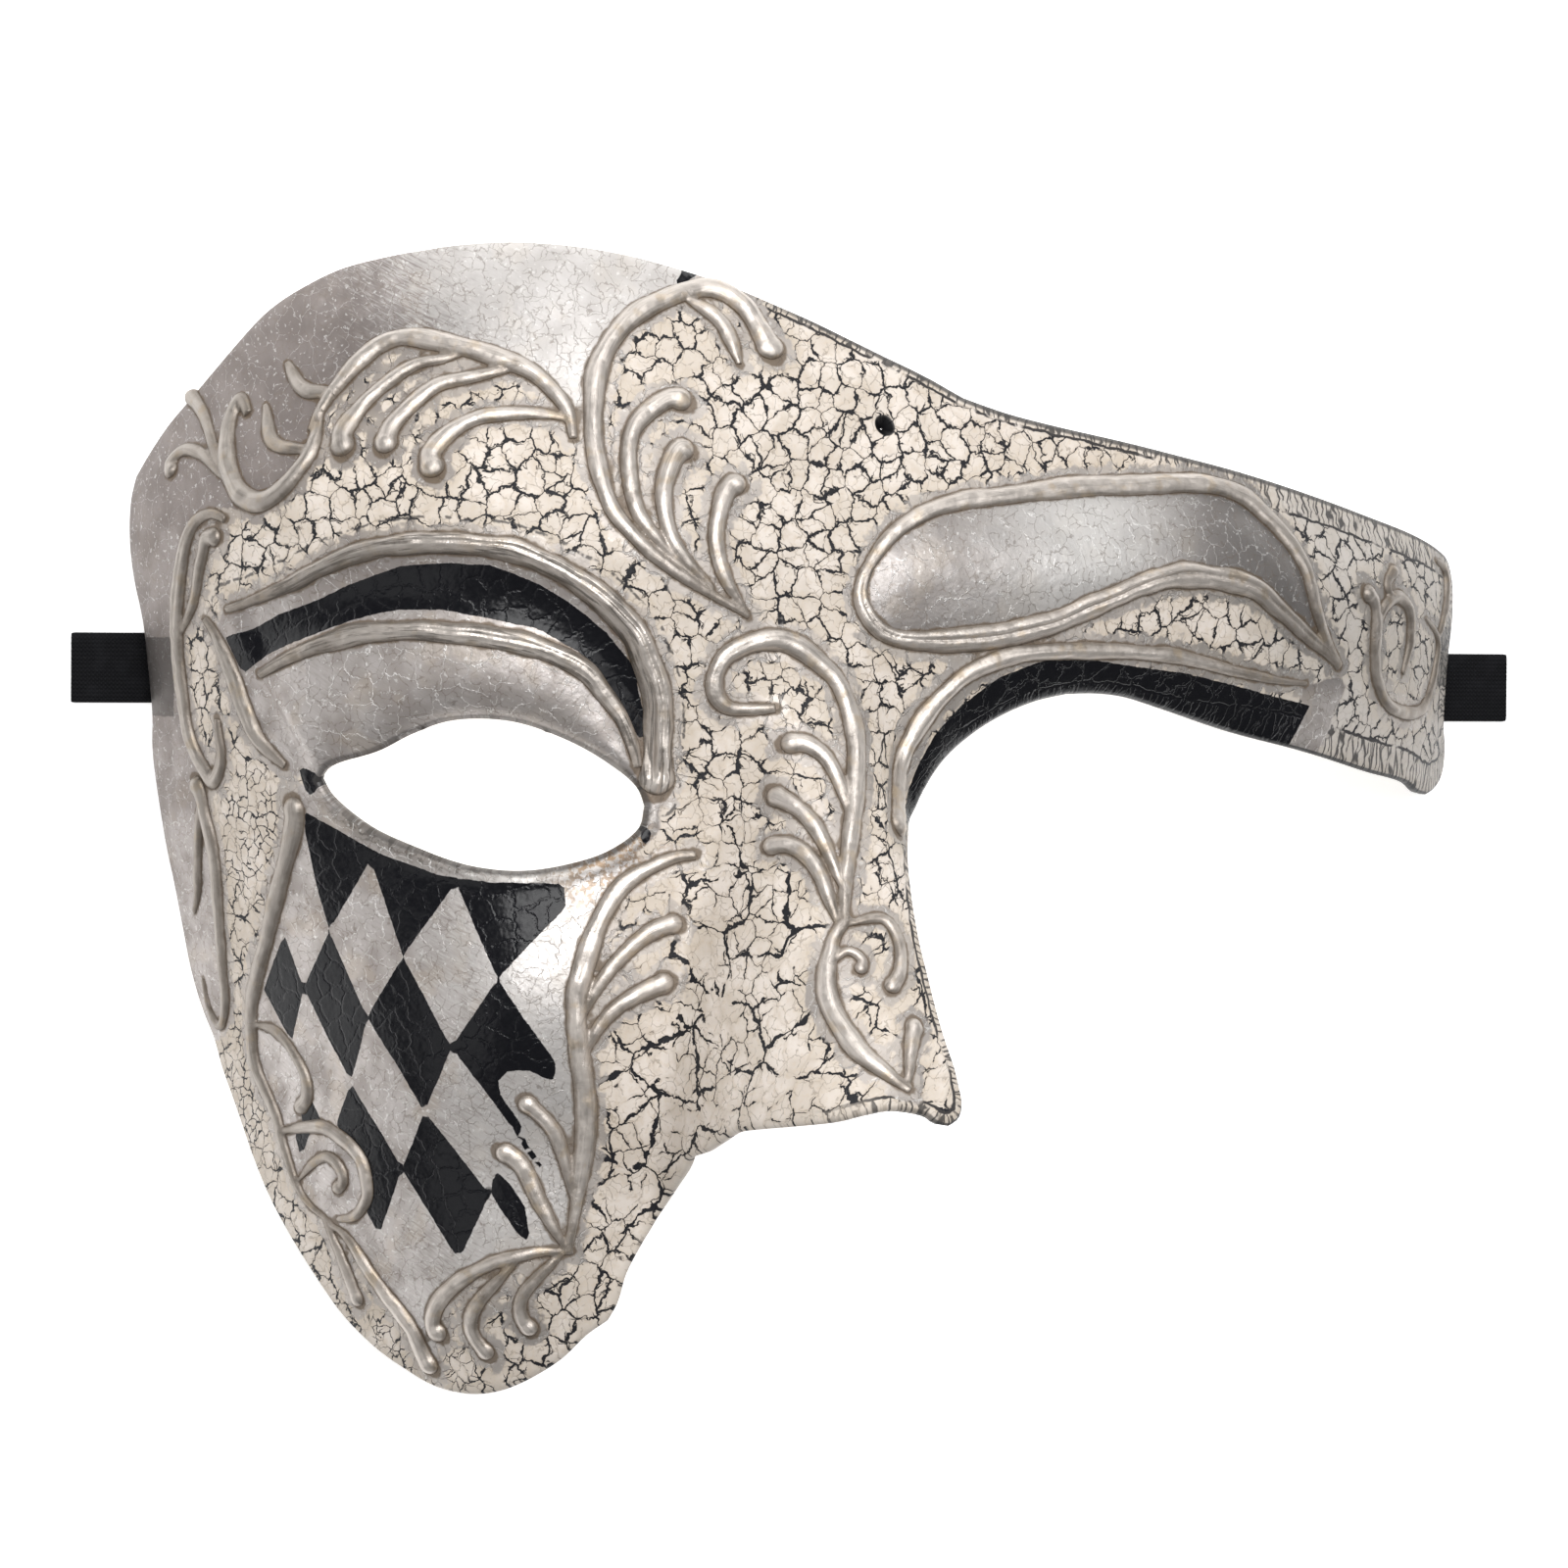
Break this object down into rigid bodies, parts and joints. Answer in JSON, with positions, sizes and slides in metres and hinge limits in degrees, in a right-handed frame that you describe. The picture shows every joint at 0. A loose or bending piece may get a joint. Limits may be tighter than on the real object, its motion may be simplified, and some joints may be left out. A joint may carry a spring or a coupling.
{
  "type": "venetian half mask",
  "caption": "Moulded half mask over the forehead, nose and one cheek, with an eye hole, a brow band on the other side, raised scrollwork and short elastic straps.",
  "frame": {"origin": "centre of the bounding box's underside, on the surface that the rim rests on", "axes": "+Z out of the face, +Y up the forehead, +X toward the wearer's left; the mask lies face up on its rim"},
  "size_m": [0.237, 0.175, 0.0932],
  "materials": {
    "painted_shell": "cream crackle paint with black and antique silver fields, satin",
    "silver_scroll": "antique silver paint with brown in the hollows, satin",
    "black_elastic": "woven elastic, matt"
  },
  "bodies": {
    "root": {"mask_shell": "painted_shell", "strap_right": "black_elastic", "strap_left": "black_elastic", "forehead_scroll": "silver_scroll", "brow_fan_scroll": "silver_scroll", "brow_arch_rib": "silver_scroll", "eyelid_rib": "silver_scroll", "temple_rib": "silver_scroll", "side_scroll_upper": "silver_scroll", "side_scroll_lower": "silver_scroll", "cheek_outer_scroll": "silver_scroll", "cheek_inner_scroll": "silver_scroll", "nose_scroll": "silver_scroll", "far_brow_loop": "silver_scroll", "far_eye_arch": "silver_scroll", "far_temple_scroll": "silver_scroll"}
  },
  "joints": []
}
